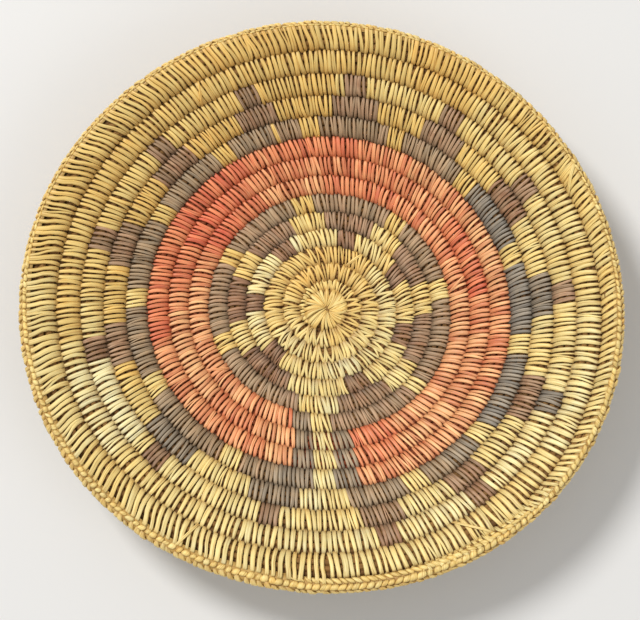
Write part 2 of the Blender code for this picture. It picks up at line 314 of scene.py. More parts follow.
def reachBraid(turn, across, out, here):
    # near the outline the stitches follow the rim's skin until they are under the braid
    wide, high, level = (size[:, None] for size in skinSize(turn[:, 0], here))
    halfWidth = here[3][:, None] - sewing["sunk"] * sewing["sunkAcross"]
    halfThickness = here[4][:, None] - sewing["sunk"]
    covered = np.where(turn < 1, mainWidthAt(turn), innerWidthAt(turn)) - sewing["underBraid"]
    coveredAcross = sewing["rimWay"][sewing["coveredStep"]][0]
    stretch = np.clip((wide - covered / level) / halfWidth / coveredAcross, *sewing["stretch"])
    outer = (turn < sewing["coveredTurns"]) & (across > sewing["outerFrom"]) & (out > 0)
    across = np.where(outer, np.minimum(across * stretch, (wide - sewing["edgeRoom"]) / halfWidth), across)
    share = np.clip(across * halfWidth / wide, 0, sewing["mostShare"])
    dive = sewing["dive"] * (share > sewing["diveFrom"])
    skin = (high * np.sqrt(1 - share**2) - sewing["underSkin"] - dive) / halfThickness
    return across, np.where(outer & (turn > sewing["slimTurns"]) & (turn < 1), skin, out)


def layStitches(place, rows, reach):
    # every point of every stitch, wound once round the coil at its place
    turn, lean, width, bend, lift, jitter = (row[:, None] for row in rows)
    x, y, z = stitchPoints.T
    step = np.rint(x * lastStep).astype(int)
    kind = np.interp(turn[:, 0], sewing["wayTurns"], range(len(ways)))
    first = np.minimum(kind.astype(int), len(ways) - 2)
    mix = (kind - first)[:, None, None]
    way = ways[first] * (1 - mix) + ways[first + 1] * mix
    pace = np.gradient(way, axis=1)[:, step]
    across, out = way[:, step, 0], way[:, step, 1]
    here = place(turn[:, 0])
    across = across * np.where(across < 0, reach + jitter, 1)
    atRim = place is coilAt
    if atRim:
        across, out = reachBraid(turn, across, out, here)
    advance = np.array(sewing["advance"])[step]
    covered = atRim & (turn < sewing["coveredTurns"])
    y = y * np.where(covered, np.array(sewing["coveredWiden"])[step], 1)
    perTurn = math.tau * np.linalg.norm(here[0][:, :2], axis=1)[:, None]
    shift = lean * across * here[3][:, None] + bend * np.maximum(0, 1 - across**2) + (advance + y) * width
    middle, along, normal, halfWidth, halfThickness = place(turn + shift / perTurn)
    wide, high = halfWidth - sewing["sunk"] * sewing["sunkAcross"], halfThickness - sewing["sunk"]
    length = np.hypot(pace[..., 0] * wide, pace[..., 1] * high)
    facingAcross, facingOut = -pace[..., 1] * high / length, pace[..., 0] * wide / length
    proud = z * sewing["splintThickness"] + lift * np.maximum(0, out)
    spotAcross = across * wide + facingAcross * proud
    spotOut = out * high + facingOut * proud
    points = middle + along * spotAcross[..., None] + normal * spotOut[..., None]
    # painted shade at both ends of each stitch, less of it on the ends under the braid
    innerPower, outerPower = sewing["tuckPowers"]
    innerTuck = np.clip(-across - sewing["tuckFrom"], 0, 1) ** innerPower
    outerTuck = np.clip(across - sewing["tuckFrom"], 0, 1) ** outerPower
    tuck = np.maximum(innerTuck, outerTuck * np.where(covered, sewing["coveredTuck"], 1))
    return points, tuck, grainOf(x, y, z, sewing["grainLength"], width)


def addMesh(name, points, faces, attributes):
    # points is stitch by point by 3; the faces of one stitch repeat for each
    count, size = points.shape[:2]
    allFaces = [tuple(corner + size * copy for corner in face) for copy in range(count) for face in faces]
    mesh = bpy.data.meshes.new(name)
    mesh.from_pydata(points.reshape(-1, 3).tolist(), [], allFaces)
    for label, (kind, values) in attributes.items():
        layer = mesh.attributes.new(label, kind, "POINT")
        slot = "vector" if kind == "FLOAT_VECTOR" else "value"
        layer.data.foreach_set(slot, np.ascontiguousarray(values, dtype=np.float32).ravel())
    mesh.shade_smooth()
    mesh.validate()
    piece = bpy.data.objects.new(name, mesh)
    bpy.context.scene.collection.objects.link(piece)
    return piece


# Where each colour lies in each round, in degrees from the middle of the path
pattern = {
    "brown": {
        3: ((12.5, 18), (37, 42.5), (64.5, 70), (91.5, 96.5), (118.5, 124), (144, 149.5), (170, 175.5),
            (198, 203), (223.5, 229), (250, 255.5), (277, 282.5), (308, 313.5), (341.5, 347)),
        4: ((9.5, 20.5), (34.5, 44.5), (60, 72), (88, 99), (114.5, 126.5), (140, 152), (165.5, 178.5),
            (194.5, 205.5), (221, 233), (246.5, 258.5), (274, 285), (302.5, 317.5), (336.5, 351.5)),
        5: ((6.5, 24), (30.5, 48), (54, 76.5), (82.5, 103), (109, 129.5), (135.5, 155.5), (160.5, 182.5),
            (188.5, 211), (216.5, 237.5), (243, 264), (269.5, 290.5), (297, 323.5), (330.5, 355.5),
            (362.5, 371)),
        6: ((347, 355), (363, 371)),
        7: ((346.5, 354), (362.5, 370.5)),
        9: ((-17.5, -8), (2, 45.5), (52.5, 94.5), (104.5, 136.5), (146, 187.5), (198.5, 237.5),
            (246.5, 283.5), (293.5, 343)),
        10: ((6.5, 38), (57.5, 86.5), (105.5, 130), (150, 181), (203, 233), (250.5, 278), (298.5, 332.5)),
        11: ((14.5, 30), (63.5, 79), (109, 122.5), (157.5, 171.5), (208.5, 224.5), (258.5, 272), (302, 318)),
    },
    "naturalSpan": {1: (-10, 360), 2: (0, 360), 3: (0, 360), 4: (0, 360), 5: (0, 362.5), 6: (355, 363),
                    7: (354, 362.5), 9: (-8, 360), 10: (0, 360), 11: (0, 360), 12: (0, 360), 13: (0, 360)},
    "redSpan": {6: (11, 347), 7: (11, 346.5), 8: (10.5, 342.5)},
    "pitch": {1: 0.0037, 2: 0.0035, 3: 0.0031, 4: 0.0029, 5: 0.0027, 6: 0.0028, 7: 0.0029, 8: 0.0029,
              9: 0.0029, 10: 0.0025, 11: 0.0024, 12: 0.0023, 13: 0.0022, 14: 0.0021},
    "pitchSwing": {1: 0.13, 3: 0.10, 6: 0.05, 9: 0.0},  # wider at the bottom
    "swingDegrees": 5,
    "brownPitchShare": 0.95,
    "leanDegrees": {  # degrees round, then the leans there
        1: ((20, 60, 90, 117, 128, 145, 200, 225, 255, 270, 285, 312, 330, 350, 360),
            (8, 28, 27, 20, 4, 5, 12, 13, 12, 8, 12, 21, 13, 2, 0)),
        2: ((0, 90, 180, 270, 360), (5, 5, 5, 4, 5)), 3: ((0, 90, 180, 270, 360), (5, 9, 6, 4, 5)),
        4: ((0, 90, 180, 270, 360), (8, 11, 7, 4, 8)), 5: ((0, 90, 180, 270, 360), (10, 13, 8, 5, 10)),
        6: ((0, 90, 180, 270, 360), (12, 13, 9, 6, 12)), 7: ((0, 90, 180, 270, 360), (14, 14, 10, 7, 14)),
        8: ((0, 90, 180, 270, 360), (14, 14, 10, 8, 14)), 9: ((0, 90, 180, 270, 360), (12, 8, 10, 9, 12)),
        10: ((0, 90, 180, 270, 360), (9, 8, 9, 9, 9)), 11: ((0, 60, 140, 200, 360), (10, 8, 20, 12, 10)),
        12: ((0, 80, 150, 270, 360), (10, 2, 18, 10, 10)), 13: ((0, 80, 150, 270, 360), (5, 0, 12, 6, 5)),
        14: ((0, 360), (6, 6)),
    },
}


def fromRound(table, roundNumber):
    return table[max(key for key in table if key <= roundNumber)]


def pitchAt(roundNumber, degrees, colour):
    swing = fromRound(pattern["pitchSwing"], roundNumber)
    swing *= math.cos(math.radians(degrees - pattern["swingDegrees"]))
    share = pattern["brownPitchShare"] if colour == "brown" else 1
    return pattern["pitch"][roundNumber] * share * (1 + swing)


def openness(roundNumber, degrees):
    swing = fromRound(sewing["openSwing"], roundNumber)
    swing *= math.cos(math.radians(degrees - sewing["openDegrees"]))
    return fromRound(sewing["openness"], roundNumber) + swing


def gapsBetween(spans, start, end):
    edges = [start] + [edge for span in spans for edge in span] + [end]
    return [pair for pair in zip(edges[::2], edges[1::2]) if pair[0] < pair[1]]


def leanAt(roundNumber, degrees):
    degreesOf, leans = pattern["leanDegrees"][roundNumber]
    return math.radians(np.interp(degrees, degreesOf, leans))


# Loose and odd stitches: place in turns, lean in degrees, width and lift
strays = {
    (1, "natural"): ((0.327, 48, 0.0030, 0.0007), (0.332, 20, 0.0042, 0.0003), (0.912, -14, 0.0018, 0.0006)),
    (2, "natural"): ((1.092, 42, 0.0022, 0.0008), (1.585, -20, 0.0016, 0.0005)),
    (5, "natural"): ((4.545, 8, 0.0026, 0.0004),),
    (8, "red"): ((7.28, 35, 0.0016, 0.0005), (7.83, -24, 0.0016, 0.0005)),
    (12, "natural"): ((11.42, -26, 0.0018, 0.0003), (11.86, 30, 0.0018, 0.0003)),
    (13, "natural"): ((12.15, 34, 0.0018, 0.0003), (12.58, -30, 0.0018, 0.0003), (12.9, 32, 0.0018, 0.0003)),
}


def stitchRow(roundNumber, spans, colour):
    # turn, lean, width, bend, lift and reach of every stitch in a row of spans, then its shades
    rows = []
    splint, left = rng.uniform(-1, 1), int(rng.integers(*sewing["firstSplint"]))
    for start, end in spans:
        first = roundNumber - 1 + start / 360
        last = roundNumber - 1 + end / 360
        places, turn = [], first
        while turn < last:
            degrees = (turn % 1) * 360
            radius = np.linalg.norm(coilAt(np.array([turn]))[0][0, :2])
            pitch = pitchAt(roundNumber, degrees, colour)
            pitch *= 1 + sewing["pitchJitter"] * rng.standard_normal()
            places.append((turn, pitch / (math.tau * radius), pitch))
            turn += places[-1][1]
        fit = (last - first) / (turn - first)
        for turn, share, pitch in places:
            middle = first + (turn + share / 2 - first) * fit
            degrees = (middle % 1) * 360
            pitch *= fit
            if left == 0:
                splint, left = rng.uniform(-1, 1), int(rng.integers(*sewing["splintStitches"]))
            left -= 1
            lean = leanAt(roundNumber, degrees)
            lean += fromRound(sewing["leanJitter"], roundNumber) * rng.standard_normal()
            width = pitch * (1 - openness(roundNumber, degrees))
            width *= 1 + fromRound(sewing["widthJitter"], roundNumber) * rng.standard_normal()
            bend = sewing["bendSwing"] * math.sin(math.radians(degrees))
            bend += sewing["bendJitter"] * rng.standard_normal()
            if roundNumber == 1:
                bend += sewing["rimBend"]
            lift = sewing["lift"] * rng.standard_normal()
            if middle < sewing["slimTurns"]:
                lift = sewing["slimLift"]
            reach = fromRound(sewing["reachJitter"], roundNumber) * rng.standard_normal()
            halves = (-1, 1) if rng.random() < sewing["splitShare"] else (0,)
            for side in halves:
                place = middle + side * share * sewing["splitApart"]
                slant = math.tan(lean + side * sewing["splitLean"])
                wide = width * (1 - sewing["splitNarrower"] * abs(side))
                rows.append((place, slant, wide, bend, lift, reach, splint, rng.uniform(-1, 1)))
    for turn, leanDegrees, width, lift in strays.get((roundNumber, colour), ()):
        slant = math.tan(math.radians(leanDegrees))
        rows.append((turn, slant, width, 0, lift, 0, rng.uniform(-1, 1), sewing["strayShade"]))
    return np.array(rows).T


# Shades run from 0 to 1 along each finish's own colours. A patch gives its rounds, its degrees and what the
# shade is there or what it adds, and the first patch that fits a stitch counts
shading = {
    "natural": {
        "base": {1: 0.43},
        "swing": 0.18,  # more golden at the top
        "swingDegrees": 200,
        "splint": 0.13,
        "single": 0.05,
        "patches": (
            ((11,), (135, 300), "is", 0.20),
            ((12,), (30, 130), "is", 0.14),
            ((12,), (290, 330), "is", 0.14),
            ((2, 3), (278, 304), "adds", -0.28),  # weathered pale
            ((4,), (264, 345), "adds", 0.16),
            ((1, 2), (145, 205), "adds", 0.10),
            ((4, 5), (125, 265), "adds", 0.16),
            ((13,), (0, 360), "adds", 0.10),
        ),
    },
    "brown": {
        "base": {3: 0.86, 4: 0.84, 9: 0.72, 10: 0.90},
        "swing": 0,
        "swingDegrees": 0,
        "splint": 0.10,
        "single": 0.07,
        "patches": (
            ((5,), (342, 360), "is", 0.42),
            ((6, 7, 8), (0, 360), "is", 0.42),
            ((5,), (0, 54), "is", 0.45),
            ((5,), (54, 132), "is", 0.18),  # slate
            ((5,), (132, 342), "is", 0.60),
            ((4,), (88, 99), "is", 0.18),
            ((3,), (64, 71), "is", 0.18),
            ((4,), (300, 360), "is", 0.28),
            ((10, 11), (240, 360), "is", 1.00),
        ),
    },
    "red": {
        "base": {6: 0.70, 7: 0.54, 8: 0.56},
        "swing": 0,
        "swingDegrees": 0,
        "splint": 0.13,
        "single": 0.14,
        "patches": (
            ((7, 8), (225, 245), "is", 0.34),
            ((6,), (150, 280), "is", 0.44),
            ((7,), (150, 225), "is", 0.42),
            ((7,), (95, 125), "is", 0.36),
            ((7, 8), (30, 100), "adds", 0.14),
            ((7, 8), (260, 340), "adds", 0.14),
        ),
    },
}


def shadeAt(colour, turn, splint, single):
    tints = shading[colour]
    roundNumber, degrees = int(turn) + 1, (turn % 1) * 360
    shade = fromRound(tints["base"], roundNumber)
    shade += tints["swing"] * math.cos(math.radians(degrees - tints["swingDegrees"]))
    for rounds, (first, last), change, value in tints["patches"]:
        if roundNumber in rounds and first <= degrees < last:
            shade = value if change == "is" else shade + value
            break
    return min(1, max(0, shade + tints["splint"] * splint + tints["single"] * single))


def spreadOver(values, count, size):
    return values if values.size > count else np.repeat(values, size)


def addStitched(name, points, faces, tuck, grain, shades, singles):
    # shades are the splints' tints, and singles what each has of its own
    count, size = points.shape[:2]
    grain = grain + (singles[:, None] * np.array(shoot["grainApart"]))[:, None, :]
    return addMesh(name, points, faces, {
        "tuck": ("FLOAT", tuck),
        "grain": ("FLOAT_VECTOR", grain),
        "shade": ("FLOAT", spreadOver(shades, count, size)),
        "single": ("FLOAT", spreadOver(singles * 0.5 + 0.5, count, size)),
    })


def sewStitches(name, rows, colour):
    reach = sewing["startReach"] if rows[0][0] > sewing["startTurns"] else 1
    points, tuck, grain = layStitches(coilAt, rows[:6], reach)
    shades = np.array([shadeAt(colour, *stitch) for stitch in zip(rows[0], rows[6], rows[7])])
    return addStitched(name, points, stitchFaces, tuck, grain, shades, rows[7])


# Finishes
fibreLook = {
    "gamma": 2.2,
    "stretch": (90, 2400, 900),
    "detail": 3,
    "patchScale": 140,
    "patchDetail": 2,
    "roughnessRange": (-0.1, 0.12),
    "ridgeHeight": 0.0001,
}


def linear(colour):
    return (*[channel ** fibreLook["gamma"] for channel in colour], 1)


def addNode(tree, kind, place, **values):
    node = tree.nodes.new(kind)
    node.location = place
    for key, value in values.items():
        setattr(node, key, value)
    return node


def rampColours(node, stops):
    ramp = node.color_ramp
    while len(ramp.elements) < len(stops):
        ramp.elements.new(0.5)
    for element, (position, colour) in zip(ramp.elements, stops):
        element.position = position
        element.color = linear(colour)


def splintFinish(name, look):
    material = bpy.data.materials.new(name)
    material.use_nodes = True
    tree = material.node_tree
    link = tree.links.new
    shader = tree.nodes["Principled BSDF"]
    shader.inputs["Roughness"].default_value = look["roughness"]
    shader.inputs["Specular IOR Level"].default_value = look["specular"]
    shade = addNode(tree, "ShaderNodeAttribute", (-1400, 300), attribute_name="shade")
    tuck = addNode(tree, "ShaderNodeAttribute", (-1400, 0), attribute_name="tuck")
    single = addNode(tree, "ShaderNodeAttribute", (-1400, -200), attribute_name="single")
    grain = addNode(tree, "ShaderNodeAttribute", (-1400, -450), attribute_name="grain")
    # long fibres, a few to each splint
    stretch = addNode(tree, "ShaderNodeMapping", (-1200, -450))
    stretch.inputs["Scale"].default_value = fibreLook["stretch"]
    link(grain.outputs["Vector"], stretch.inputs["Vector"])
    fibres = addNode(tree, "ShaderNodeTexNoise", (-1000, -450))
    fibres.inputs["Scale"].default_value = 1
    fibres.inputs["Detail"].default_value = fibreLook["detail"]
    link(stretch.outputs["Vector"], fibres.inputs["Vector"])
    # slow change of colour along each splint
    patches = addNode(tree, "ShaderNodeTexNoise", (-1000, 100))
    patches.inputs["Scale"].default_value = fibreLook["patchScale"]
    patches.inputs["Detail"].default_value = fibreLook["patchDetail"]
    spot = addNode(tree, "ShaderNodeTexCoord", (-1200, 100))
    link(spot.outputs["Object"], patches.inputs["Vector"])
    moved = addNode(tree, "ShaderNodeMath", (-800, 250), operation="MULTIPLY_ADD")
    moved.inputs[1].default_value = look["patches"]
    link(patches.outputs["Fac"], moved.inputs[0])
    link(shade.outputs["Fac"], moved.inputs[2])
    centred = addNode(tree, "ShaderNodeMath", (-620, 250), operation="SUBTRACT")
    centred.inputs[1].default_value = look["patches"] / 2
    link(moved.outputs["Value"], centred.inputs[0])
    colours = addNode(tree, "ShaderNodeValToRGB", (-440, 300))
    rampColours(colours, look["colours"])
    link(centred.outputs["Value"], colours.inputs["Fac"])
    # fibres lighten and darken
    lines = addNode(tree, "ShaderNodeValToRGB", (-800, -300))
    rampColours(lines, look["fibres"])
    link(fibres.outputs["Fac"], lines.inputs["Fac"])
    streaked = addNode(tree, "ShaderNodeMix", (-140, 200), data_type="RGBA", blend_type="MULTIPLY")
    streaked.inputs["Factor"].default_value = look["fibreStrength"]
    link(colours.outputs["Color"], streaked.inputs["A"])
    link(lines.outputs["Color"], streaked.inputs["B"])
    # painted shade where the stitch goes down between its neighbours; on the rods the same mix gives the red
    # dye in the gaps of the red rounds
    paintedShadeAndDye = addNode(tree, "ShaderNodeMath", (-440, 0), operation="MULTIPLY")
    paintedShadeAndDye.inputs[1].default_value = look["paintedShadeAndDyeStrength"]
    link(tuck.outputs["Fac"], paintedShadeAndDye.inputs[0])
    paintedShadeAndDyeMix = addNode(tree, "ShaderNodeMix", (60, 200), data_type="RGBA", blend_type="MIX")
    paintedShadeAndDyeMix.inputs["B"].default_value = linear(look["paintedShadeAndDye"])
    link(paintedShadeAndDye.outputs["Value"], paintedShadeAndDyeMix.inputs["Factor"])
    link(streaked.outputs["Result"], paintedShadeAndDyeMix.inputs["A"])
    # each stitch a little lighter or darker than its neighbour
    value = addNode(tree, "ShaderNodeMapRange", (60, -60))
    value.inputs["To Min"].default_value = 1 - look["stitchContrast"]
    value.inputs["To Max"].default_value = 1 + look["stitchContrast"]
    link(single.outputs["Fac"], value.inputs["Value"])
    tinted = addNode(tree, "ShaderNodeHueSaturation", (260, 200))
    link(value.outputs["Result"], tinted.inputs["Value"])
    link(paintedShadeAndDyeMix.outputs["Result"], tinted.inputs["Color"])
    link(tinted.outputs["Color"], shader.inputs["Base Color"])
    # smooth skin with fine ridges
    sheen = addNode(tree, "ShaderNodeMapRange", (-440, -300))
    smoothest, roughest = fibreLook["roughnessRange"]
    sheen.inputs["To Min"].default_value = look["roughness"] + smoothest
    sheen.inputs["To Max"].default_value = look["roughness"] + roughest
    link(fibres.outputs["Fac"], sheen.inputs["Value"])
    link(sheen.outputs["Result"], shader.inputs["Roughness"])
    ridges = addNode(tree, "ShaderNodeBump", (-140, -400))
    ridges.inputs["Strength"].default_value = look["ridges"]
    ridges.inputs["Distance"].default_value = fibreLook["ridgeHeight"]
    link(fibres.outputs["Fac"], ridges.inputs["Height"])
    link(ridges.outputs["Normal"], shader.inputs["Normal"])
    return material


# each look's colour for the ends is painted shade at the stitches' ends; on the rods it is the red dye of the
# red rounds
naturalLook = {
    "colours": ((0, (1.00, 0.97, 0.77)), (0.25, (0.99, 0.91, 0.63)), (0.5, (0.98, 0.86, 0.54)),
                (0.75, (0.96, 0.80, 0.46)), (1, (0.94, 0.73, 0.39))),
    "fibres": ((0.34, (0.70, 0.58, 0.40)), (0.47, (0.94, 0.92, 0.88)), (0.6, (1, 1, 1))),
    "fibreStrength": 0.7,
    "paintedShadeAndDye": (0.55, 0.35, 0.16),
    "paintedShadeAndDyeStrength": 0.56,
    "patches": 0.4,
    "stitchContrast": 0.11,
    "roughness": 0.46,
    "specular": 0.45,
    "ridges": 0.35,
}
brownLook = {
    "colours": ((0, (0.60, 0.57, 0.52)), (0.3, (0.66, 0.60, 0.51)), (0.6, (0.74, 0.63, 0.49)),
                (0.85, (0.74, 0.60, 0.47)), (1, (0.64, 0.48, 0.36))),
    "fibres": ((0.34, (0.50, 0.44, 0.40)), (0.47, (0.90, 0.88, 0.86)), (0.6, (1, 1, 1))),
    "fibreStrength": 0.7,
    "paintedShadeAndDye": (0.14, 0.11, 0.10),
    "paintedShadeAndDyeStrength": 0.6,
    "patches": 0.45,
    "stitchContrast": 0.2,
    "roughness": 0.5,
    "specular": 0.4,
    "ridges": 0.4,
}
redLook = {
    "colours": ((0, (0.96, 0.42, 0.31)), (0.25, (0.97, 0.53, 0.38)), (0.5, (0.97, 0.61, 0.42)),
                (0.75, (0.99, 0.73, 0.51)), (1, (0.99, 0.80, 0.56))),
    "fibres": ((0.34, (0.62, 0.42, 0.34)), (0.47, (0.92, 0.90, 0.88)), (0.6, (1, 1, 1))),
    "fibreStrength": 0.7,
    "paintedShadeAndDye": (0.58, 0.22, 0.13),
    "paintedShadeAndDyeStrength": 0.45,
    "patches": 0.45,
    "stitchContrast": 0.17,
    "roughness": 0.48,
    "specular": 0.42,
    "ridges": 0.4,
}
# the rods' dark browns are partly their own colour and partly painted shade for the deep gaps between the
# stitches
rodLook = {
    "colours": ((0, (0.30, 0.22, 0.15)), (0.5, (0.50, 0.36, 0.20)), (1, (0.82, 0.62, 0.35))),
    "fibres": ((0.25, (0.5, 0.45, 0.4)), (0.5, (1, 1, 1)), (0.8, (1, 1, 1))),
    "fibreStrength": 0.7,
    "paintedShadeAndDye": (0.50, 0.22, 0.13),
    "paintedShadeAndDyeStrength": 0.75,
    "patches": 0.5,
    "stitchContrast": 0.1,
    "roughness": 0.7,
    "specular": 0.25,
    "ridges": 0.6,
}
finishes = {
    "natural": splintFinish("naturalSplint", naturalLook),
    "brown": splintFinish("brownSplint", brownLook),
    "red": splintFinish("redSplint", redLook),
    "rods": splintFinish("foundationRod", rodLook),
}


def nodesFor(roundNumber, colour):
    start = f"round_{roundNumber:02d}_{colour}_splints"
    return sorted(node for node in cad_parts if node.startswith(start))


def sewRound(roundNumber, colour, spans):
    rows = stitchRow(roundNumber, spans, colour)
    name = f"round{roundNumber:02d}{colour.capitalize()}Stitches"
    piece = sewStitches(name, rows, colour)
    piece.data.materials.append(finishes[colour])
    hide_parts(*nodesFor(roundNumber, colour))
    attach(piece, "root")
    return rows.shape[1]


stitchCount = 0
for roundNumber in range(1, coil["rounds"] + 1):
    brown = pattern["brown"].get(roundNumber, ())
    if brown:
        stitchCount += sewRound(roundNumber, "brown", brown)
    if roundNumber in pattern["naturalSpan"]:
        start, end = pattern["naturalSpan"][roundNumber]
        inside = [span for span in brown if start <= span[0] < end]
        stitchCount += sewRound(roundNumber, "natural", gapsBetween(inside, start, end))
    if roundNumber in pattern["redSpan"]:
        stitchCount += sewRound(roundNumber, "red", [pattern["redSpan"][roundNumber]])
print("rounds sewn:", stitchCount, "stitches")

# The bundle of rods, seen in the gaps of the sewing
rods = {
    "places": ((0.66, 0.18), (0.30, 0.45), (-0.28, 0.46), (-0.66, 0.20), (-0.67, -0.20), (-0.29, -0.44),
               (0.28, -0.44), (0.66, -0.20), (-1.00, -0.08), (0.02, 0.0)),
    "sides": 6,
    "perTurn": 64,
    "radiusShare": 0.31,
    "flatness": 0.9,
    "wander": 0.03,  # they don't run quite straight
    "wanderPace": 7.3,
    "wanderStep": 2.1,
    "outWander": 0.5,
    "grainSteps": (0.012, 0.002),
    "shadeJitter": 0.15,
    "shadeTurns": (2.2, 3.2, 10.5, 11.5),  # darker in the gaps of the dyed rounds, partly painted shade
    "shades": (0.5, 0.3, 0.3, 0.45),
    "redTurns": (5.03, 7.95),
    "startTurn": -0.03,
    "endTurn": 13.98,
}


def ringTube(rings):
    # faces of a tube through a row of rings, with its ends closed
    stations, sides = rings.shape[:2]
    faces = []
    for station in range(stations - 1):
        for side in range(sides):
            after = (side + 1) % sides
            here, there = station * sides, (station + 1) * sides
            faces.append((here + side, here + after, there + after, there + side))
    faces.append(tuple(range(sides))[::-1])
    faces.append(tuple(range((stations - 1) * sides, stations * sides)))
    return faces


def layRods(place, turns):
    middle, along, normal, halfWidth, halfThickness = place(turns)
    radius = rods["radiusShare"] * halfWidth
    around = np.arange(rods["sides"]) / rods["sides"] * math.tau
    tubes = []
    for rod, (acrossShare, outShare) in enumerate(rods["places"]):
        wander = rods["wander"] * np.sin(turns * (rods["wanderPace"] + rod) + rod * rods["wanderStep"])
        across = (acrossShare + wander) * halfWidth
        out = (outShare + wander * rods["outWander"]) * halfThickness
        across = across[:, None] + radius[:, None] * np.cos(around)
        out = out[:, None] + radius[:, None] * np.sin(around) * rods["flatness"]
        tubes.append(middle[:, None] + along[:, None] * across[..., None] + normal[:, None] * out[..., None])
    points = np.stack(tubes)  # rod, station, side, 3
    count, stations, sides = points.shape[:3]
    lengthStep, aroundStep = rods["grainSteps"]
    lengthwise = np.repeat(np.arange(stations) * lengthStep, sides)
    crosswise = np.tile(np.arange(sides) * aroundStep, stations)
    grain = np.stack([lengthwise, crosswise, crosswise * 0], -1)[None].repeat(count, 0)
    red = (turns > rods["redTurns"][0]) & (turns < rods["redTurns"][1])
    tuck = np.broadcast_to(red.repeat(sides).astype(float), (count, stations * sides))
    shade = np.interp(turns, rods["shadeTurns"], rods["shades"]).repeat(sides)
    shades = shade[None] + rng.uniform(-rods["shadeJitter"], rods["shadeJitter"], (count, 1))
    return points.reshape(count, -1, 3), ringTube(points[0]), tuck, grain, shades


rodTurns = np.arange(rods["startTurn"], rods["endTurn"], 1 / rods["perTurn"])
rodPoints, rodFaces, rodTuck, rodGrain, rodShades = layRods(coilAt, rodTurns)
rodPiece = addStitched(
    "foundationRods", rodPoints, rodFaces, rodTuck, rodGrain, rodShades, rng.uniform(-1, 1, len(rodPoints))
)
rodPiece.data.materials.append(finishes["rods"])
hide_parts("foundation_rods")
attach(rodPiece, "root")
print("rods laid")

# The start: a button of long stitches and the coil's first turn round it
button = {
    "radiusDegrees": (0, 200, 290, 345, 360),  # its last stitches reach further out, where the coil sets off
    "radius": (0.0117, 0.0120, 0.0135, 0.0134, 0.0118),
    "halfThickness": 0.0040,
    "slitDirection": (0.64, -0.77, 0),
    "slitLength": 0.0022,
    "slitSharpness": 2.5,
    "stitches": 42,
    "width": 0.0021,
    "widthShare": 0.62,
    "tuckShare": 0.45,
    "leanDegrees": 8,
    "placeJitter": 0.2,
    "leanJitter": 0.09,
    "widthJitter": 0.10,
    "liftJitter": 0.0004,
    "reachJitter": 0.05,
    "shades": (0.35, 0.7),
    "firstTurn": 14,
    "firstTurnSpan": (0, 305),
    "firstTurnReach": 1.22,
    "firstTurnShade": 0.55,
    "firstTurnSwing": 0.1,
    "coreSides": 32,
    "coreRings": 12,
    "coreSize": (0.0132, 0.0132, 0.0030),
    "coreMarks": {"shade": 0.55, "tuck": 0.0, "single": 0.4},
}
count = button["stitches"]
firstTurn = stitchRow(button["firstTurn"], [button["firstTurnSpan"]], "natural")
knotRows = np.stack([
    (np.arange(count) + rng.uniform(-button["placeJitter"], button["placeJitter"], count)) / count,
    np.tan(np.radians(button["leanDegrees"]) + button["leanJitter"] * rng.standard_normal(count)),
    button["width"] * (button["widthShare"] + button["widthJitter"] * rng.standard_normal(count)),
    np.zeros(count),
    button["liftJitter"] * rng.standard_normal(count),
    button["reachJitter"] * rng.standard_normal(count),
])
knotParts = layStitches(buttonAt, knotRows, sewing["knotReach"])
turnParts = layStitches(coilAt, firstTurn[:6], button["firstTurnReach"])
# the button's stitches get less painted shade at their ends
knotParts[1][:] *= button["tuckShare"]
points, tuck, grain = (np.concatenate(pair) for pair in zip(knotParts, turnParts))
knotShades = rng.uniform(*button["shades"], count)
shades = np.concatenate([knotShades, button["firstTurnShade"] + button["firstTurnSwing"] * firstTurn[6]])
startKnot = addStitched(
    "startKnot", points, stitchFaces, tuck, grain, shades,
    np.concatenate([rng.uniform(-1, 1, count), firstTurn[7]]),
)
startKnot.data.materials.append(finishes["natural"])
bpy.ops.object.select_all(action="DESELECT")
bpy.ops.mesh.primitive_uv_sphere_add(
    segments=button["coreSides"], ring_count=button["coreRings"], radius=1, location=(0, 0, 0)
)
startCore = bpy.context.object  # the fibres inside the button
startCore.name = "startCore"
bpy.ops.object.mode_set(mode="EDIT")
bpy.ops.mesh.select_all(action="SELECT")
bpy.ops.transform.resize(value=button["coreSize"], center_override=(0, 0, 0))
bpy.ops.transform.translate(value=(0, 0, button["halfThickness"]))
bpy.ops.object.mode_set(mode="OBJECT")
corePoints = np.array([vert.co for vert in startCore.data.vertices], dtype=np.float32)
for label, value in button["coreMarks"].items():
    marks = startCore.data.attributes.new(label, "FLOAT", "POINT")
    marks.data.foreach_set("value", [value] * len(corePoints))
coreGrain = startCore.data.attributes.new("grain", "FLOAT_VECTOR", "POINT")
coreGrain.data.foreach_set("vector", corePoints.ravel())
startCore.data.materials.append(finishes["rods"])
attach(startCore, "root")
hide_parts("start_knot")
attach(startKnot, "root")
print("start sewn")


# The leaves of the rim, and where they lie on its skin
def leafTaper(share):
    first, last = braid["taperSpan"]
    swell = math.sin(math.pi * (first + (last - first) * share))
    return braid["tipShare"] + (1 - braid["tipShare"]) * swell


leafStrip = makeStrip("leafStrip", braid["steps"], braid["sides"], leafTaper, braid["flatness"])
leafPoints, leafFaces = stripParts(leafStrip)
for strip in (stitchStrip, leafStrip):
    bpy.data.objects.remove(strip)


def unit(vectors):
    return vectors / np.linalg.norm(vectors, axis=-1)[..., None]


def rimCoilAt(turn):
    # the rim's coil, which just before its first stitch runs into the coil's own slim end
    share = np.clip((turn - braid["blendFrom"]) / (1 - braid["blendFrom"]), 0, 1)
    share = share**2 * (3 - 2 * share)
    mixed = [
        body * (1 - weight) + end * weight
        for body, end, weight in zip(coilAt(turn), coilAt(turn - 1), (share[..., None],) * 3 + (share,) * 2)
    ]
    return mixed[0], unit(mixed[1]), unit(mixed[2]), mixed[3], mixed[4]


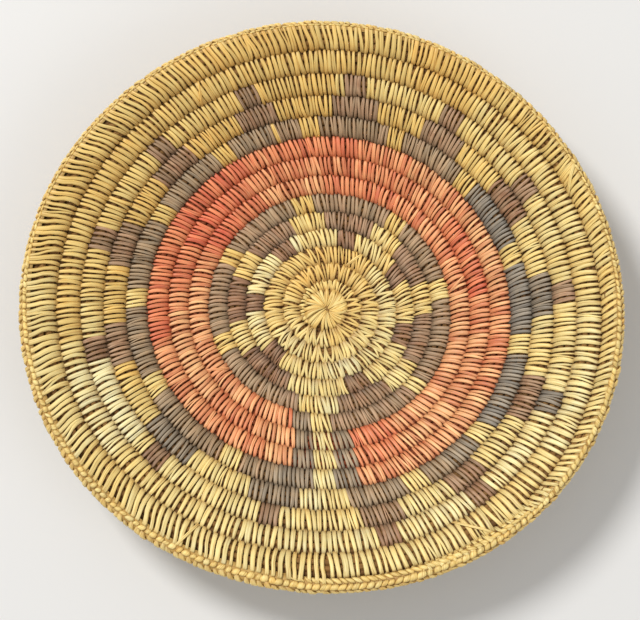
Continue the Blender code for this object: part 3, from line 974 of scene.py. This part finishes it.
def bandShape(turn):
    here = rimCoilAt(turn)
    return *here[:3], *skinSize(turn, here)


def bandAt(turn, angle):
    # a point of the rim's skin: angle 0 is the end of the section, a quarter turn is over the coil's middle
    middle, along, normal, wide, high, level = bandShape(turn)
    across, up = np.cos(angle), np.sin(angle)
    point = middle + along * (across * wide)[..., None] + normal * (up * high)[..., None]
    return point, unit(along * (across / wide)[..., None] + normal * (up / high)[..., None])


def angleIn(turn, inward):
    # the angle at which the skin lies so far inside the outline, seen from above
    middle, along, normal, wide, high, level = bandShape(turn)
    run, lean = wide * level, high * np.sqrt(1 - level**2)
    cosine = np.clip((run - inward) / np.hypot(run, lean), braid["leastCosine"], 1)
    return np.arccos(cosine) - np.arctan2(lean, run)


def mainEdge(turn, more=0):
    return angleIn(turn, mainWidthAt(turn) + more)


def innerEdge(turn):
    return angleIn(turn, innerWidthAt(turn))


def outerEdge(turn):
    return angleIn(turn, np.interp(turn * 360 % 360, braid["outerDegrees"], braid["outer"]))


def underEdge(turn):
    return 0 * turn + braid["underAngle"]


def braidRow(inner, outer, lean, start, end):
    # leaves from one edge of a row to the other, all leaning one way
    places, degrees = [], start
    while degrees < end:
        near = math.cos(math.radians(degrees - braid["bottomDegrees"]))
        pitch = np.interp(near, braid["bottomRange"], (braid["pitch"], braid["bottomPitch"]))
        pitch *= 1 + braid["pitchJitter"] * rng.standard_normal()
        places.append((degrees / 360 % 1, pitch))
        degrees += pitch / float(rimRadiusAt(np.array(degrees / 360))) * 360 / math.tau
    turns, pitches = np.array(places).T[..., None]
    jitter = rng.standard_normal((len(places), 6))
    slantJitter, archJitter, shadeJitter, widthJitter, lengthJitter, tiltJitter = jitter.T[..., None]
    x, y, z = leafPoints.T
    along = x - 0.5
    perTurn = math.tau * rimRadiusAt(turns)
    top, bottom = inner(turns), outer(turns)
    length = (top - bottom) * braid["skinRadius"]
    slant = lean * np.minimum(braid["slant"] * length, pitches * braid["mostSlant"])
    slant = slant + braid["slantJitter"] * slantJitter
    shift = slant * along + y * pitches * (1 + braid["widthJitter"] * widthJitter)
    stretch = braid["overlap"] + braid["lengthJitter"] * lengthJitter
    angle = bottom + (top - bottom) * (0.5 - along * stretch)
    spot, facing = bandAt((turns + shift / perTurn) % 1, angle)
    arch = braid["arch"] * np.sin(math.pi * x) - braid["sunk"] + braid["archJitter"] * archJitter
    proud = arch + z * braid["thickness"] + braid["tiltJitter"] * tiltJitter * along
    points = spot + facing * proud[..., None]
    # painted shade towards both ends of each leaf, where it goes under its neighbours
    tuck = np.broadcast_to(np.abs(2 * along) ** 4, points.shape[:2])
    grain = grainOf(x, y, z, braid["grainLength"], pitches)
    return points, tuck, grain, braid["shade"] + braid["shadeJitter"] * shadeJitter[:, 0]


rowParts = [
    braidRow(mainEdge, outerEdge, braid["mainLean"], 0, 360),
    braidRow(innerEdge, mainEdge, braid["innerLean"], *braid["innerSpan"]),
    braidRow(outerEdge, underEdge, braid["underLean"], 0, 360),
]
points, tuck, grain = (np.concatenate([part[index] for part in rowParts]) for index in range(3))
shades = np.concatenate([part[3] for part in rowParts])
rimBraid = addStitched("rimBraid", points, leafFaces, tuck, grain, np.clip(shades, 0, 1),
                       rng.uniform(-1, 1, len(shades)))
rimBraid.data.materials.append(finishes["natural"])
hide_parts("rim_braid")
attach(rimBraid, "root")
print("rim braided:", len(shades), "leaves")


# The flat band under the braid, which closes the edge between its leaves; its tuck and single darken it with
# painted shade where it shows between them
welt = {
    "stations": 361,
    "sides": 8,
    "reachDegrees": (330, 342, 360),
    "reach": (0.0022, 0.0035, 0.0035),  # how far it goes in beyond the braid's main row
    "innerRow": (45, 350),  # before the first and after the second it lies under the inner row too
    "depths": (0.0009, 0.0018),
    "shade": 0.7,
    "tuck": 0.7,
    "single": -1.0,
}


def addWelt():
    turns = np.linspace(0, 1, welt["stations"])[:, None]
    share = np.linspace(0, 1, welt["sides"])
    rowEnd, rowStart = welt["innerRow"]
    covered = (turns * 360 < rowEnd) | (turns * 360 > rowStart)
    top = mainEdge(turns, np.interp(turns * 360, welt["reachDegrees"], welt["reach"]))
    top = np.where(covered, np.maximum(innerEdge(turns), top), top)
    angles = top * (1 - share) + underEdge(turns) * share
    spot, facing = bandAt(turns + 0 * angles, angles)
    upper, lower = (spot - facing * depth for depth in welt["depths"])
    rings = np.concatenate([upper, lower[:, ::-1]], 1)
    points = rings.reshape(1, -1, 3)
    tuck = np.full(points.shape[:2], welt["tuck"])
    shades, singles = np.array([welt["shade"]]), np.array([welt["single"]])
    return addStitched("rimWelt", points, ringTube(rings), tuck, points, shades, singles)


rimWelt = addWelt()
rimWelt.data.materials.append(finishes["natural"])
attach(rimWelt, "root")

# Studio
studio = {
    "floorColour": (0.78, 0.77, 0.75),
    "floorSize": 4.0,
    "floorHeight": -0.0004,
    "floorRoughness": 1,
    "floorGloss": 0,  # no glare from low angles
    "keyPower": 78,
    "keySize": 0.9,
    "keyPlace": (-1.35, 1.53, 2.61),
    "fillPower": 9,
    "fillSize": 1.8,
    "fillPlace": (1.35, -1.05, 1.8),
    "worldStrength": 0.45,
    "cameraHeight": 1.405,
    "cameraPlace": (-0.0043, -0.0006),
    "lens": 128.5,
}
bpy.ops.object.select_all(action="DESELECT")
bpy.ops.mesh.primitive_plane_add(size=studio["floorSize"], location=(0, 0, studio["floorHeight"]))
floor = bpy.context.object
floor.name = "floor"
floorFinish = bpy.data.materials.new("floorFinish")
floorFinish.use_nodes = True
floorShader = floorFinish.node_tree.nodes["Principled BSDF"]
floorShader.inputs["Base Color"].default_value = (*studio["floorColour"], 1)
floorShader.inputs["Roughness"].default_value = studio["floorRoughness"]
floorShader.inputs["Specular IOR Level"].default_value = studio["floorGloss"]
floor.data.materials.append(floorFinish)


def addLamp(name, place, size, power):
    lamp = bpy.data.lights.new(name, "AREA")
    lamp.shape = "DISK"
    lamp.size = size
    lamp.energy = power
    holder = bpy.data.objects.new(name, lamp)
    holder.location = place
    holder.rotation_euler = (-Vector(place)).to_track_quat("-Z", "Y").to_euler()
    bpy.context.scene.collection.objects.link(holder)


addLamp("keyLamp", studio["keyPlace"], studio["keySize"], studio["keyPower"])
addLamp("fillLamp", studio["fillPlace"], studio["fillSize"], studio["fillPower"])
world = bpy.data.worlds.new("studioLight")
world.use_nodes = True
world.node_tree.nodes["Background"].inputs["Color"].default_value = (1, 1, 1, 1)
world.node_tree.nodes["Background"].inputs["Strength"].default_value = studio["worldStrength"]
bpy.context.scene.world = world
bpy.context.scene.view_settings.view_transform = "Standard"

camera = bpy.data.objects.new("camera", bpy.data.cameras.new("camera"))
camera.data.lens = studio["lens"]
camera.location = (*studio["cameraPlace"], studio["cameraHeight"])
bpy.context.scene.collection.objects.link(camera)
bpy.context.scene.camera = camera
print("studio set")
